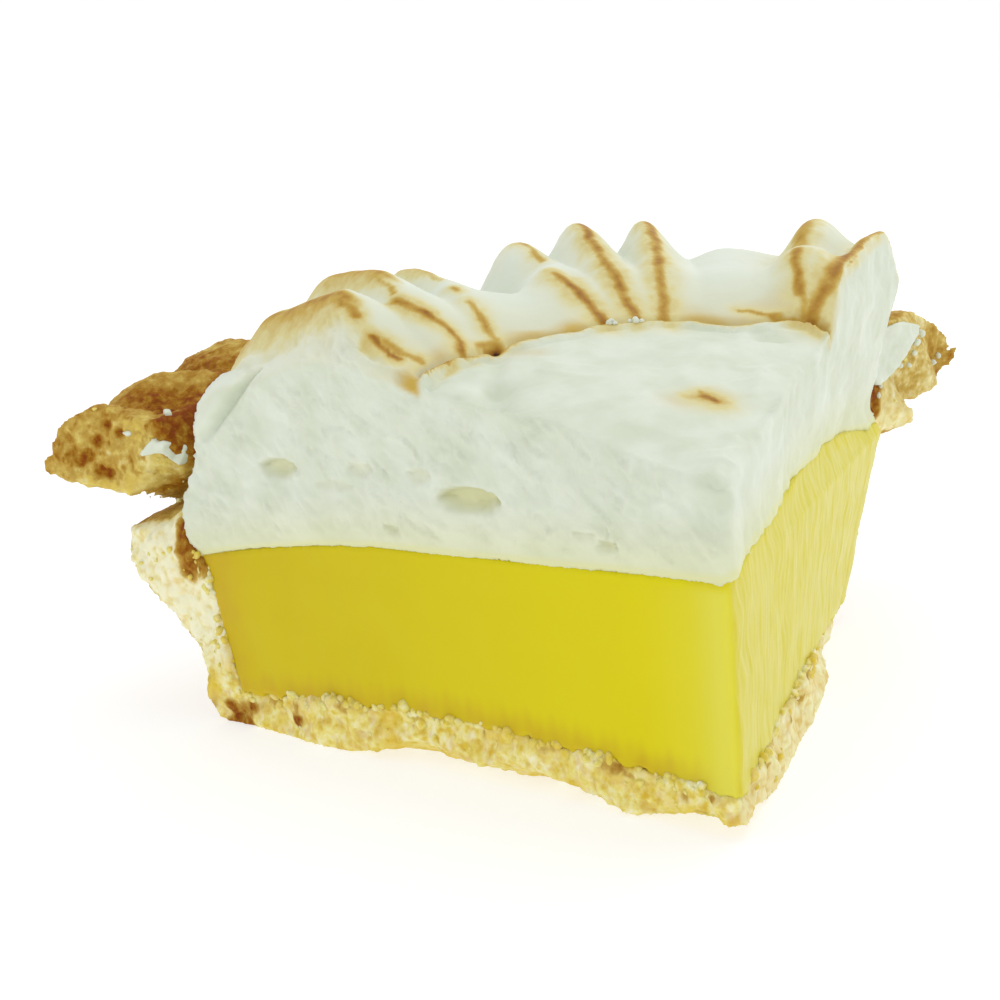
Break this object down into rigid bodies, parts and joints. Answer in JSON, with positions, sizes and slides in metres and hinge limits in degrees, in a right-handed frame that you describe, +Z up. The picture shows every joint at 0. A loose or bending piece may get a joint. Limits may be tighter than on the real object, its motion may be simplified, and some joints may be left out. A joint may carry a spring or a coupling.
{
  "type": "slice of lemon meringue pie",
  "caption": "Wedge of lemon meringue pie: shortcrust case with a crimped rim, lemon filling that shows at the cuts, and a thick meringue top with browned ridges.",
  "frame": {"origin": "middle of the slice's footprint, on the flat underside that it rests on", "axes": "+Z up; the point of the slice is towards -Y and the crimped rim towards +Y; +X runs across the rim, from the left cut to the right cut"},
  "size_m": [0.1688, 0.133, 0.0737],
  "materials": {
    "crust": "baked shortcrust, matte and crumbly, golden brown on the rim",
    "lemon_filling": "smooth set lemon curd, soft gloss",
    "meringue": "soft baked meringue, matte with a faint sheen, torched brown along its ridges"
  },
  "bodies": {
    "root": {"crust": "crust", "lemon_filling": "lemon_filling", "meringue": "meringue"}
  },
  "joints": []
}
